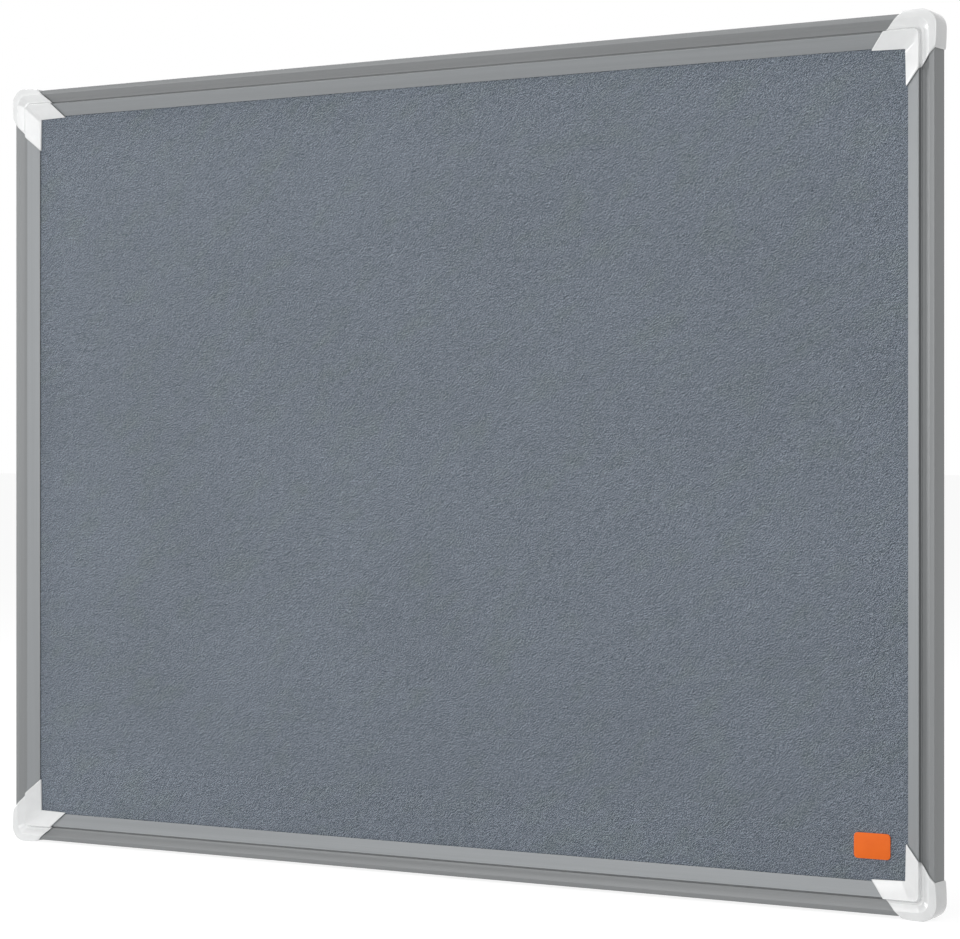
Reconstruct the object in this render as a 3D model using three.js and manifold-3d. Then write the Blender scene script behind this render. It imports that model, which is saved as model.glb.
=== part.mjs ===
import * as THREE from "three";
import { mergeVertices } from "three/addons/utils/BufferGeometryUtils.js";
import Module from "manifold-3d";

// A felt bulletin board in a slim aluminium frame with white corner caps, in millimetres.
// X runs to the right and Z up. The wall is the plane Y = 0 and the board stands out from it toward -Y.
// The origin is the middle of the back.
// Sections are drawn as inset, from the frame's outer side inward, and rise, from the wall outward.

// Board, over the rails
const boardWidth = 600;
const boardHeight = 450;

// Panel, from the wall outward
const backingThickness = 0.4;
const coreThickness = 4.4;
const feltThickness = 1.2;
const glueLine = 0.15;
const panelPlay = 0.8; // between the panel's edge and the bottom of the rail's slot
const panelClip = 10; // cut off each panel corner, along each edge
const slotGap = 0.3; // between the panel and the slot's lips

// Rail section
const railDepth = 12; // wall to ridge
const railWall = 1.1;
const backLipThickness = 1.2;
const sideRound = 0.5; // rounding of the outer front edge
const crestInset = 2.6;
const crestRise = 0.3; // above the ridge
const footInset = 8.1;
const footDrop = 2; // below the ridge
const stepRun = 0.5; // lean of the step between foot and ridge
const railInset = 16; // outer side to the inner edge, where the felt begins
const lipEdge = 0.4; // front lip's thickness at the felt
const lipPad = 1.2; // flat under the front lip that faces the felt
const coveShare = 0.5; // where the cove's control point lies between crest and foot
const railEnd = 17; // from the board's corner to the square-cut end of each rail

// Corner cap
const capGap = 0.3; // inside the cap to the rail
const capSideProud = 1.6; // of the side's front edge, round the corner
const capFlare = 0.35; // the side's back stands out by this less
const capFaceProud = 1.3; // of the crest and the foot
const capRidgeProud = 1.4;
const capStepShift = 0.5; // of the step, outward from the rail's own
const capLipOver = 1.3; // past the rail's inner edge
const capEdgeRound = 0.9; // of the outer front edge
const capTurnRadius = 8.7; // of the outer front edge, round the corner
const capSharpInset = 12.7; // the corner's radius shrinks inward to nothing at this inset
const capEnd = 17.5; // the outer face's length, from the board's corner
const capRidgeEnd = 27.6; // the same at the ridge, where the diagonal cut turns a little
const capTip = 36.4; // the same at the inner lip
const capEndBevel = 1.1; // length of the bevel round each cut end
const capEndShare = 0.45; // of the skin's thickness left at the cut end
const armMidShare = 0.5; // place of the station between an arm's end and the corner
const capSideTaper = 0.8; // the side draws in by this toward each end
const capLipTaper = 0.4; // so does the lip

// Pegs under the cap, and their sockets in the bracket
const pegRadius = 0.8;
const pegInset = 5.8;
const pegAlong = 15.2;
const pegRoot = 1.3; // the pegs' root above the foot of the rail's cove
const pegReach = 4; // into the socket
const pegPlay = 0.3;
const socketSpare = 1; // socket deeper than the peg

// Corner bracket
const keyClearance = 0.3; // arm to chamber wall, and block to rail end
const armEnd = 46; // from the board's corner
const armTaper = 3; // length of the tapered tip
const armTipInset = 1; // the tip is narrower by this on each side
const armPocketLength = 9;
const armPocketWall = 1.6;
const armPocketFloor = 2.4;
const boreInset = 9.2; // wall-screw bore, from both sides of the corner
const boreRadius = 3;
const counterboreRadius = 4.6;
const boreFloor = 3; // thickness left under the wall screw's head

// Screws that hold the rails on the brackets' arms
const screwAlong = 30;
const screwHeadRadius = 2.4;
const screwShankRadius = 1.2;
const screwHeadHeight = 1;
const screwLength = 7;
const screwPoint = 1.6;
const screwSet = 0.1; // head below the rail's back face
const screwPlay = 0.3;

// Plain tab on the felt, measured to its centre from the board's right and bottom sides
const tabWidth = 20;
const tabHeight = 13;
const tabThickness = 0.6;
const tabRound = 2;
const tabFromRight = 35.6;
const tabFromBottom = 33.5;

// Facets
const coveSteps = 5;
const roundSteps = 2;
const turnSteps = 8;
const boreSides = 24;
const smallSides = 12;

const overrun = 1; // cuts run past the face that they open
const weld = 0.0001; // vertices nearer than this are one

// Worked out from the sizes above
const panelInset = footInset + stepRun + railWall + panelPlay;
const backingRise = backLipThickness + slotGap;
const coreRise = backingRise + backingThickness + glueLine;
const feltRise = coreRise + coreThickness + glueLine;
const feltFace = feltRise + feltThickness;
const lipRise = feltFace + slotGap;
const ridgeInset = footInset + stepRun;
const footRise = railDepth - footDrop;
const armInset = railWall + keyClearance;
const armWidth = ridgeInset - railWall - 2 * keyClearance;
const armMiddle = armInset + armWidth / 2;
const armTop = footRise - railWall - keyClearance;
const blockEnd = railEnd - keyClearance;

const wasm = await Module();
wasm.setup();

const materials = {
  aluminium: new THREE.MeshStandardMaterial({ color: 0x9da1a3, roughness: 0.42, metalness: 0.85 }),
  whitePlastic: new THREE.MeshStandardMaterial({ color: 0xf1f2f3, roughness: 0.2, metalness: 0 }),
  greyPlastic: new THREE.MeshStandardMaterial({ color: 0xb9bcbf, roughness: 0.5, metalness: 0 }),
  zinc: new THREE.MeshStandardMaterial({ color: 0xb6b9bc, roughness: 0.35, metalness: 0.9 }),
  felt: new THREE.MeshStandardMaterial({ color: 0x71777f, roughness: 0.97, metalness: 0 }),
  fibreboard: new THREE.MeshStandardMaterial({ color: 0xb39a78, roughness: 0.9, metalness: 0 }),
  backing: new THREE.MeshStandardMaterial({ color: 0x8c8f91, roughness: 0.6, metalness: 0 }),
  orange: new THREE.MeshStandardMaterial({ color: 0xec7030, roughness: 0.55, metalness: 0 }),
};

const section = (inset, rise) => new THREE.Vector2(inset, rise);

// A closed geometry as a solid that can be joined and cut, without the triangles that collapsed.
function solidFrom(geometry) {
  const bare = geometry.clone();
  bare.deleteAttribute("normal");
  bare.deleteAttribute("uv");
  const merged = mergeVertices(bare, weld);
  const corners = merged.index.array;
  const kept = [];
  for (let i = 0; i < corners.length; i += 3) {
    const [a, b, c] = corners.slice(i, i + 3);
    if (a !== b && b !== c && c !== a) kept.push(a, b, c);
  }
  const mesh = new wasm.Mesh({
    numProp: 3,
    vertProperties: merged.attributes.position.array,
    triVerts: new Uint32Array(kept),
  });
  return new wasm.Manifold(mesh);
}

function geometryFrom(solid) {
  const mesh = solid.getMesh();
  const geometry = new THREE.BufferGeometry();
  geometry.setAttribute("position", new THREE.BufferAttribute(mesh.vertProperties.slice(), mesh.numProp));
  geometry.setIndex(new THREE.BufferAttribute(mesh.triVerts.slice(), 1));
  geometry.computeVertexNormals();
  return geometry;
}

const joined = (solid, others) => others.reduce((sum, other) => sum.add(other), solid);
const cut = (solid, others) => others.reduce((rest, other) => rest.subtract(other), solid);

// An outline in X and Z, extruded from one rise to another in front of the wall.
function slab(outline, fromRise, toRise) {
  const geometry = new THREE.ExtrudeGeometry(new THREE.Shape(outline), {
    depth: toRise - fromRise,
    bevelEnabled: false,
  });
  return geometry.rotateX(Math.PI / 2).translate(0, -fromRise, 0);
}

// In a corner's own frame, +X runs along the first rail and -Z along the second, both inward.
const plan = (alongFirst, alongSecond) => new THREE.Vector2(alongFirst, -alongSecond);
const acrossDiagonal = (outline) => outline.map(({ x, y }) => new THREE.Vector2(-y, -x));

// A bar or cone square to the wall, at a place in a corner's frame.
function bar(alongFirst, alongSecond, fromRise, toRise, fromRadius, toRadius, sides) {
  const geometry = new THREE.CylinderGeometry(fromRadius, toRadius, toRise - fromRise, sides);
  return geometry.translate(alongFirst, -(fromRise + toRise) / 2, -alongSecond);
}

// The face in section, from the wall up the side, over the crest, down the cove to its foot,
// up the step to the ridge and down the bevel to the inner lip.
function facePath(side, round, crest, foot, ridge, lip, lipBottom) {
  const below = section(side.x, side.y - round);
  const beside = side.clone().add(crest.clone().sub(side).setLength(round));
  const control = section(THREE.MathUtils.lerp(crest.x, foot.x, coveShare), foot.y);
  return [
    section(side.x, 0),
    ...new THREE.QuadraticBezierCurve(below, side, beside).getPoints(roundSteps),
    ...new THREE.QuadraticBezierCurve(crest, control, foot).getPoints(coveSteps),
    ridge,
    lip,
    lipBottom,
  ];
}

// The path moved to its left by one distance, with mitred corners.
function offsetPath(path, distance) {
  const last = path.length - 1;
  const normals = path.slice(1).map((point, i) => {
    const run = point.clone().sub(path[i]).normalize();
    return new THREE.Vector2(-run.y, run.x);
  });
  return path.map((point, i) => {
    const before = normals[Math.max(i - 1, 0)];
    const after = normals[Math.min(i, last - 1)];
    const mitre = before.clone().add(after);
    return point.clone().addScaledVector(mitre, (2 * distance) / mitre.lengthSq());
  });
}

const railFace = facePath(
  section(0, railDepth),
  sideRound,
  section(crestInset, railDepth + crestRise),
  section(footInset, footRise),
  section(ridgeInset, railDepth),
  section(railInset, lipRise + lipEdge),
  section(railInset, lipRise),
);
const bevelSlope = (railDepth - lipRise - lipEdge) / (railInset - ridgeInset);

// The hollow extrusion, square-cut at both ends, with a countersunk hole near each end at the back.
function railGeometry(length) {
  const slotInset = ridgeInset + railWall;
  const slotTop = railDepth - (slotInset - ridgeInset) * bevelSlope - railWall;
  const outline = [
    ...railFace,
    section(railInset - lipPad, lipRise),
    section(slotInset, slotTop),
    section(slotInset, backLipThickness),
    section(railInset, backLipThickness),
    section(railInset, 0),
  ];
  const chamberTop = railFace
    .filter(({ x, y }) => x >= crestInset && x <= footInset && y > lipRise + lipEdge)
    .map(({ x, y }) => section(x, y - railWall));
  const chamber = [
    section(railWall, railWall),
    section(railWall, railDepth - railWall),
    ...chamberTop,
    section(ridgeInset, footRise - railWall),
    section(ridgeInset, railWall),
  ];
  const drawn = (points) => points.map(({ x, y }) => new THREE.Vector2(x, -y));
  const shape = new THREE.Shape(drawn(outline));
  shape.holes.push(new THREE.Path(drawn(chamber)));
  const extrusion = new THREE.ExtrudeGeometry(shape, { depth: length - 2 * railEnd, bevelEnabled: false });
  extrusion.rotateY(Math.PI / 2).translate(railEnd, 0, 0);
  const holes = [screwAlong, length - screwAlong].flatMap((along) => screwHoles(along, armMiddle));
  return geometryFrom(cut(solidFrom(extrusion), holes));
}

// The countersink and clearance hole for one screw, from the back.
function screwHoles(alongFirst, alongSecond) {
  const headRadius = screwHeadRadius + screwPlay;
  const shankRadius = screwShankRadius + screwPlay;
  const headEnd = screwSet + screwHeadHeight;
  const holeEnd = screwLength + screwPlay;
  const shank = bar(alongFirst, alongSecond, -overrun, holeEnd, shankRadius, shankRadius, smallSides);
  const head = bar(alongFirst, alongSecond, 0, headEnd, headRadius, shankRadius, smallSides);
  const mouth = bar(alongFirst, alongSecond, -overrun, screwSet, headRadius, headRadius, smallSides);
  return [shank, head, mouth].map(solidFrom);
}

function screwGeometry() {
  const headEnd = screwSet + screwHeadHeight;
  const profile = [
    section(0, -screwSet),
    section(screwHeadRadius, -screwSet),
    section(screwShankRadius, -headEnd),
    section(screwShankRadius, screwPoint - screwLength),
    section(0, -screwLength),
  ];
  return new THREE.LatheGeometry(profile.reverse(), smallSides);
}

// One arm of a bracket, in the first rail's chamber, with a tapered tip and two pockets in its front.
function armSolid(turned) {
  const from = blockEnd - overrun;
  const inner = armInset + armWidth;
  const outline = [
    plan(from, armInset),
    plan(armEnd - armTaper, armInset),
    plan(armEnd, armInset + armTipInset),
    plan(armEnd, inner - armTipInset),
    plan(armEnd - armTaper, inner),
    plan(from, inner),
  ];
  const pocketStarts = [railEnd + armPocketWall, armEnd - armTaper - armPocketLength];
  const pockets = pocketStarts.map((start) => [
    plan(start, armInset + armPocketWall),
    plan(start + armPocketLength, armInset + armPocketWall),
    plan(start + armPocketLength, inner - armPocketWall),
    plan(start, inner - armPocketWall),
  ]);
  const placed = (points) => (turned ? acrossDiagonal(points) : points);
  const arm = solidFrom(slab(placed(outline), armInset, armTop));
  return cut(
    arm,
    pockets.map((pocket) => solidFrom(slab(placed(pocket), armInset + armPocketFloor, armTop + overrun))),
  );
}

// The corner key: a block that fills the corner between the rails' ends, with one arm for each rail.
function bracketGeometry() {
  const panelLine = 2 * panelInset + panelClip - slotGap * Math.SQRT2;
  const radius = turnRadius(0);
  const turned = [];
  for (let i = 0; i <= turnSteps; i++) {
    const angle = (i / turnSteps) * (Math.PI / 2);
    turned.push(plan(radius - radius * Math.cos(angle), radius - radius * Math.sin(angle)));
  }
  const outline = [
    plan(0, blockEnd),
    ...turned,
    plan(blockEnd, 0),
    plan(blockEnd, panelLine - blockEnd),
    plan(panelLine - blockEnd, blockEnd),
  ];
  const block = joined(solidFrom(slab(outline, 0, armTop)), [armSolid(false), armSolid(true)]);
  const socketEnd = armTop - pegReach - socketSpare;
  const socketRadius = pegRadius + pegPlay;
  const bores = [
    bar(boreInset, boreInset, -overrun, armTop + overrun, boreRadius, boreRadius, boreSides),
    bar(boreInset, boreInset, boreFloor, armTop + overrun, counterboreRadius, counterboreRadius, boreSides),
    bar(pegAlong, pegInset, socketEnd, armTop + overrun, socketRadius, socketRadius, smallSides),
    bar(pegInset, pegAlong, socketEnd, armTop + overrun, socketRadius, socketRadius, smallSides),
  ].map(solidFrom);
  const pilots = [...screwHoles(screwAlong, armMiddle), ...screwHoles(armMiddle, screwAlong)];
  return geometryFrom(cut(block, [...bores, ...pilots]));
}

// Places of the cap's section along its sweep: down one arm, round the corner and up the other.
function capStations() {
  const arm = [
    { share: 1, back: 0, skin: capEndShare },
    { share: 1, back: capEndBevel, skin: 1 },
    { share: armMidShare, back: 0, skin: 1 },
  ];
  const turn = [];
  for (let i = 0; i <= turnSteps; i++) {
    turn.push({ angle: (i / turnSteps) * (Math.PI / 2), share: 0, back: 0, skin: 1 });
  }
  const first = arm.map((station) => ({ ...station, angle: 0 }));
  const second = arm.map((station) => ({ ...station, angle: Math.PI / 2 })).reverse();
  return [...first, ...turn, ...second];
}

// The corner's radius at an inset.
function turnRadius(inset) {
  return Math.max(THREE.MathUtils.mapLinear(inset, -capSideProud, capSharpInset, capTurnRadius, 0), 0);
}

// How far the diagonal cut lets an arm reach from the board's corner, at an inset.
function capReach(inset) {
  const outermost = capSideTaper - capSideProud;
  const ridge = ridgeInset - capStepShift;
  if (inset < ridge) return THREE.MathUtils.mapLinear(inset, outermost, ridge, capEnd, capRidgeEnd);
  return THREE.MathUtils.mapLinear(inset, ridge, railInset + capLipOver, capRidgeEnd, capTip);
}

// A section point at a station, in a corner's frame, with its inset grown by what the arm draws in.
function capPoint(point, station, drawIn) {
  const hub = point.x + turnRadius(point.x);
  const armLength = capReach(point.x + drawIn(1)) - hub;
  const run = station.share * armLength - station.back;
  const radius = Math.max(hub - point.x - drawIn(run / armLength), 0);
  const sine = Math.sin(station.angle);
  const cosine = Math.cos(station.angle);
  const first = hub - radius * sine + run * cosine;
  const second = hub - radius * cosine + run * sine;
  return new THREE.Vector3(first, -point.y, -second);
}

// The cap: one skin that follows the rail's face, swept round the corner, with two pegs under it.
function capGeometry() {
  const lipInset = railInset + capLipOver;
  const ridge = section(ridgeInset - capStepShift, railDepth + capRidgeProud);
  const edge = section(-capSideProud, railDepth + capFaceProud);
  const outer = facePath(
    edge,
    capEdgeRound,
    section(crestInset, railDepth + crestRise + capFaceProud),
    section(footInset - capStepShift, footRise + capFaceProud),
    ridge,
    section(lipInset, ridge.y - (lipInset - ridge.x) * bevelSlope),
    section(lipInset, lipRise),
  );
  const inner = offsetPath(railFace, capGap);
  const sidePoints = roundSteps + 2;
  const lipPoints = 2;
  const still = () => 0;
  const drawLip = (share) => -capLipTaper * share;
  const drawSide = (rise) => {
    const lean = capFlare * (1 - rise / edge.y);
    return (share) => THREE.MathUtils.lerp(lean, capSideTaper, share ** 2);
  };
  const rings = capStations().map((station) => {
    const outside = outer.map((point, i) => {
      const onLip = i >= outer.length - lipPoints;
      const drawIn = i < sidePoints ? drawSide(point.y) : onLip ? drawLip : still;
      const full = capPoint(point, station, drawIn);
      const bare = capPoint(inner[i], station, still);
      return bare.lerp(full, station.skin);
    });
    const inside = inner.map((point) => capPoint(point, station, still)).reverse();
    return [...outside, ...inside];
  });
  const skin = solidFrom(loftGeometry(rings));
  const pegEnd = armTop - pegReach;
  const pegTop = footRise + pegRoot;
  const pegs = [plan(pegAlong, pegInset), plan(pegInset, pegAlong)].map(({ x, y }) =>
    solidFrom(bar(x, -y, pegEnd, pegTop, pegRadius, pegRadius, smallSides)),
  );
  return geometryFrom(joined(skin, pegs));
}

// A closed skin through rings of matching points: the outside's, then as many of the inside's, backward.
function loftGeometry(rings) {
  const size = rings[0].length;
  const positions = rings.flat().flatMap(({ x, y, z }) => [x, y, z]);
  const corners = [];
  for (let ring = 0; ring < rings.length - 1; ring++) {
    for (let i = 0; i < size; i++) {
      const a = ring * size + i;
      const b = ring * size + ((i + 1) % size);
      corners.push(a, b + size, b, a, a + size, b + size);
    }
  }
  const lastRing = (rings.length - 1) * size;
  for (let outside = 0; outside < size / 2 - 1; outside++) {
    const inside = size - 1 - outside;
    const ends = [
      [outside, inside - 1, outside + 1],
      [outside, inside, inside - 1],
    ];
    for (const [a, b, c] of ends) {
      corners.push(a, c, b);
      corners.push(lastRing + a, lastRing + b, lastRing + c);
    }
  }
  const geometry = new THREE.BufferGeometry();
  geometry.setAttribute("position", new THREE.Float32BufferAttribute(positions, 3));
  geometry.setIndex(corners);
  return geometry;
}

// The panel's outline, with its corners clipped clear of the brackets.
function panelOutline() {
  const x = boardWidth / 2 - panelInset;
  const z = boardHeight / 2 - panelInset;
  return [
    [-x + panelClip, -z],
    [x - panelClip, -z],
    [x, -z + panelClip],
    [x, z - panelClip],
    [x - panelClip, z],
    [-x + panelClip, z],
    [-x, z - panelClip],
    [-x, -z + panelClip],
  ].map(([right, up]) => new THREE.Vector2(right, up));
}

function tabGeometry() {
  const x = tabWidth / 2;
  const z = tabHeight / 2;
  const shape = new THREE.Shape();
  shape.moveTo(-x + tabRound, -z);
  shape.absarc(x - tabRound, -z + tabRound, tabRound, -Math.PI / 2, 0);
  shape.absarc(x - tabRound, z - tabRound, tabRound, 0, Math.PI / 2);
  shape.absarc(-x + tabRound, z - tabRound, tabRound, Math.PI / 2, Math.PI);
  shape.absarc(-x + tabRound, -z + tabRound, tabRound, Math.PI, 1.5 * Math.PI);
  return slab(shape.getPoints(roundSteps * 2), 0, tabThickness);
}

const group = new THREE.Group();

function place(parent, name, geometry, material) {
  const mesh = new THREE.Mesh(geometry, material);
  mesh.name = name;
  parent.add(mesh);
  return mesh;
}

const panel = panelOutline();
place(group, "backing_sheet", slab(panel, backingRise, backingRise + backingThickness), materials.backing);
place(group, "core_board", slab(panel, coreRise, coreRise + coreThickness), materials.fibreboard);
place(group, "felt_covering", slab(panel, feltRise, feltFace), materials.felt);

const tab = place(group, "face_tab", tabGeometry(), materials.orange);
tab.position.set(
  boardWidth / 2 - tabFromRight,
  -(feltFace + glueLine),
  tabFromBottom - boardHeight / 2,
);

const bracket = bracketGeometry();
const cap = capGeometry();
const screw = screwGeometry();
const rails = new Map([boardWidth, boardHeight].map((length) => [length, railGeometry(length)]));
const corners = [
  { name: "top_left", rail: "top", length: boardWidth, right: -1, up: 1 },
  { name: "top_right", rail: "right", length: boardHeight, right: 1, up: 1 },
  { name: "bottom_right", rail: "bottom", length: boardWidth, right: 1, up: -1 },
  { name: "bottom_left", rail: "left", length: boardHeight, right: -1, up: -1 },
];

// Each corner carries the rail that starts there, turned a quarter further than the one before.
corners.forEach(({ name, rail, length, right, up }, quarter) => {
  const corner = new THREE.Group();
  corner.position.set((right * boardWidth) / 2, 0, (up * boardHeight) / 2);
  corner.rotation.y = (quarter * Math.PI) / 2;
  group.add(corner);
  place(corner, `frame_rail_${rail}`, rails.get(length), materials.aluminium);
  place(corner, `corner_bracket_${name}`, bracket, materials.greyPlastic);
  place(corner, `corner_cap_${name}`, cap, materials.whitePlastic);
  place(corner, `corner_screw_${name}_a`, screw, materials.zinc).position.set(screwAlong, 0, -armMiddle);
  place(corner, `corner_screw_${name}_b`, screw, materials.zinc).position.set(armMiddle, 0, -screwAlong);
});

export default group;
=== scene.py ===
"""Looks of a felt bulletin board with an aluminium frame and white corner caps.

Sizes are in millimetres. A section is drawn as inset, from the frame's outer side inward, and rise,
from the wall outward. In a corner's own frame +X runs along one rail and -Z along the other, both
inward, and the wall is the plane Y = 0, with the board toward -Y.
"""

import math

import bmesh
import bpy
import numpy as np
from mathutils import Matrix, Vector, noise

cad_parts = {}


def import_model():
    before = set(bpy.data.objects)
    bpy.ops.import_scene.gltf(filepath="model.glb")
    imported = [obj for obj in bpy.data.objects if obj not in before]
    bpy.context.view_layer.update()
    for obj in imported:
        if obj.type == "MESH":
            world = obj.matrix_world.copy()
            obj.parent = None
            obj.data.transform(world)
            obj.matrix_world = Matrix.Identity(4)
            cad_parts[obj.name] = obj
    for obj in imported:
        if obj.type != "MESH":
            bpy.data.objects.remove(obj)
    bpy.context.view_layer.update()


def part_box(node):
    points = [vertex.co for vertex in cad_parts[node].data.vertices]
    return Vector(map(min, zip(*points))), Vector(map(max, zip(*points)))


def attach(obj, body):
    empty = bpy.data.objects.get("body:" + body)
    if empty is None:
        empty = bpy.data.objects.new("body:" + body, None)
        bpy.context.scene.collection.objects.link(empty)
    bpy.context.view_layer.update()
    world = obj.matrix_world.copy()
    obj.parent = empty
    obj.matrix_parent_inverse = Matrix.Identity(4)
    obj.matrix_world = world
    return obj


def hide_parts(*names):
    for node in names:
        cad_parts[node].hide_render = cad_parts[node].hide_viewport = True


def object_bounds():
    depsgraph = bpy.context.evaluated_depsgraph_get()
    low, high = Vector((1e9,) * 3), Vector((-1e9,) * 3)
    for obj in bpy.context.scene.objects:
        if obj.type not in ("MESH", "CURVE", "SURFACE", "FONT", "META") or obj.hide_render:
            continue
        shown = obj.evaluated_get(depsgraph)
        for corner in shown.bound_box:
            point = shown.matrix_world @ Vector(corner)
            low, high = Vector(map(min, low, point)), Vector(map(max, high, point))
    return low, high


MM = 0.001

# Camera
CAMERA_PLACE = (0.900, -1.368, 0.0)
CAMERA_TURN = 32.6
CAMERA_LENS = 111.0
CAMERA_SENSOR = 36.0
CAMERA_SHIFT_Y = -0.0046

# Light. Lamps: name, azimuth, elevation, distance, width, height, watts
WORLD_LIGHT = 0.3
LAMPS = (
    ("front", 8, 12, 2.3, 0.8, 0.8, 6.2),
    ("front_high", -14, 32, 2.3, 0.8, 0.8, 3.75),
    ("near_right", 24, 2, 1.5, 0.5, 0.5, 2.35),
    ("front_left", -36, 6, 2.3, 0.6, 0.6, 5.2),
    ("spot_left", -33, 43, 2.3, 0.35, 0.35, 1.3),
    ("low_left", -80, 5, 2.3, 0.8, 0.5, 6.05),
    ("high_left", -80, 55, 2.3, 0.8, 0.8, 20.0),
    ("high_right", 60, 55, 2.3, 0.8, 0.8, 2.9),
)

# Floor
FLOOR_REACH = 60.0
FLOOR_COLOUR = (0.9, 0.9, 0.9, 1)
FLOOR_FAINT = (0.3, 0.3, 0.3, 1)
FLOOR_GLOW = 0.86

# Rail section
RAIL_DEPTH = 12.0
RAIL_WALL = 1.1
BACK_LIP_THICKNESS = 1.2
CREST_INSET = 2.6
CREST_RISE = 0.3
FOOT_INSET = 8.1
FOOT_DROP = 2.0
GROOVE_WIDTH = 0.5
GROOVE_DEPTH = 0.35
STEP_RUN = 0.5
RAIL_INSET = 16.0
LIP_RISE = 8.1
LIP_EDGE = 0.4
LIP_PAD = 1.2
COVE_REACH = 0.88
COVE_POWER = 1.5
COVE_STEPS = 40
RAIL_END = 17.0
RAIL_ROUNDING = 0.45
BEVEL_FACING = 0.7

# Corner cap
CAP_GAP = 0.3
CAP_SIDE_PROUD = 1.6
CAP_FLARE = 0.35
CAP_FACE_PROUD = 1.3
CAP_RIDGE_PROUD = 1.4
CAP_STEP_SHIFT = 0.5
CAP_COVE_REACH = 0.74
CAP_COVE_POWER = 1.12
CAP_CREASE_DEPTH = 0.35
CAP_CREASE_WIDTH = 0.2
CAP_LIP_OVER = 1.3
CAP_TURN_RADIUS = 8.7
CAP_SHARP_INSET = 12.7
CAP_END = 17.5
CAP_RIDGE_END = 27.6
CAP_TIP = 36.4
CAP_END_BEVEL = 1.1
CAP_END_SHARE = 0.45
CAP_SIDE_TAPER = 0.8
CAP_LIP_TAPER = 0.4
CAP_ROUNDING = 0.5
CAP_TURN_STEPS = 28
CAP_ARM_SHARES = (0.9, 0.75, 0.6, 0.45, 0.3, 0.15)
CAP_END_STEPS = 6

# Pegs, sockets and bracket
PEG_RADIUS = 0.8
PEG_INSET = 5.8
PEG_ALONG = 15.2
PEG_ROOT = 1.3
PEG_REACH = 4.0
PEG_PLAY = 0.3
PEG_POINT = 0.3
PEG_POINT_SHARE = 0.55
PEG_LEAD = 0.8
PEG_LEAD_SHARE = 0.9
PEG_SIDES = 24
SOCKET_SPARE = 1.0
KEY_CLEARANCE = 0.3
ARM_END = 46.0
ARM_TAPER = 3.0
ARM_TIP_INSET = 1.0
ARM_OVERLAP = 1.0
ARM_POCKET_LENGTH = 9.0
ARM_POCKET_WALL = 1.6
ARM_POCKET_FLOOR = 2.4
BORE_INSET = 9.2
BORE_RADIUS = 3.0
COUNTERBORE_RADIUS = 4.6
BORE_FLOOR = 3.0
BORE_CHAMFER = 0.4
BORE_SIDES = 48
BLOCK_TURN_STEPS = 24
MOULDED_BEVEL = 0.3
CUT_BEYOND = 1.0

# Screws
SCREW_ALONG = 30.0
SCREW_HEAD_RADIUS = 2.4
SCREW_SHANK_RADIUS = 1.2
SCREW_HEAD_HEIGHT = 1.0
SCREW_LENGTH = 7.0
SCREW_POINT = 1.6
SCREW_SET = 0.1
SCREW_PLAY = 0.3
SCREW_PITCH = 1.0
SCREW_THREAD_DEPTH = 0.25
SCREW_THREAD_SHARE = 0.8
SCREW_THREAD_START = 0.4
SCREW_THREAD_END = 0.1
SCREW_THREAD_WIDTH_SHARE = 0.35
SCREW_ROWS_PER_TURN = 8
SCREW_CORE_SPARE = 0.05
SCREW_HEAD_FLAT_SHARE = 0.6
SCREW_HEAD_ROUND = 0.12
SCREW_HEAD_RIM = 0.1
SCREW_SIDES = 28
SCREW_TURN = 17
SCREW_TURN_PER_CORNER = 40
SCREW_TURN_SECOND = 25
RECESS_REACH = 1.3
RECESS_WIDTH = 0.62
RECESS_DEPTH = 0.75
RECESS_ABOVE = 0.3
RECESS_TAPER_SHARE = 0.6

# Panel
PANEL_CLIP = 10.0
PANEL_PLAY = 0.8
CLIP_CELLS = 7
FELT_CELL = 1.45
FELT_NAP = 0.05
FELT_NAP_RATE = 0.32
FELT_NAP_LAYER = 3.1
FELT_WAVE = 0.04
FELT_WAVE_RATES = (0.021, 0.027)
FELT_WAVE_LAYER = 7.7
SHEET_BEVEL = 0.12

# Felt's fibres: angle, length, width, shift, weight
FELT_FIBRES = (
    (-40, 0.9, 0.36, 0, 0.75),
    (-80, 0.65, 0.36, 31, 0.3),
    (5, 0.65, 0.38, 11, 0.3),
)
FELT_THROUGH = 3.0
# Distance between a fibre's painted light flank and its painted shaded flank
FELT_PAINTED_FLANK_SHIFT = 0.3
FELT_SPECK = 0.42
FELT_SPECK_SHIFT = (9, 2)
FELT_SPECK_WEIGHT = 0.58
FELT_CLUMP = (4, 1.6)
FELT_CLUMP_TURN = -35
FELT_CLUMP_WEIGHT = 0.12
FELT_DRIFT = (7, 7, 7)
FELT_SWIRL = 3.0
FELT_TONES = ((0.2, (52, 61, 72)), (0.5, (109, 118, 129)), (0.8, (162, 171, 182)))
FELT_CLOUD = (26, 20, 13)
FELT_CLOUD_TURN = -30
FELT_PATCH_FROM = (0.5, 0.7)
FELT_PATCH_TO = (0.0, 0.5)
FELT_WARM = (251, 255, 241)
FELT_BROAD = (120, 60, 90)
FELT_BROAD_TURN = 20
FELT_BROAD_SHIFT = (3, 0, 8)
FELT_BROAD_TONES = ((0.35, (248, 248, 248)), (0.65, (255, 255, 255)))
FELT_BUMP = (0.9, 0.45)

# Tab
TAB_ROUND = 2.0
TAB_BEVEL = 0.18
TAB_BEVEL_STEPS = 3

# Aluminium: length and width of its lines and bands
METAL_LINE = (90, 0.16)
METAL_BAND = (220, 3)
METAL_SPECK = (0.35, 0.35, 0.35)
METAL_WEIGHTS = (0.5, 0.35, 0.15)
METAL_SPREAD = 4
METAL_ROUGHNESS = (0.36, 0.46)
METAL_BUMP = (0.25, 0.02)

# Plastic
PLASTIC_CLOUD = (6, 6, 6)
PLASTIC_FINE = (0.5, 0.5, 0.5)
PLASTIC_SPREAD = 4
PLASTIC_ROUGHNESS_SPREAD = 0.03
PLASTIC_BUMP_STRENGTH = 0.3

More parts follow.
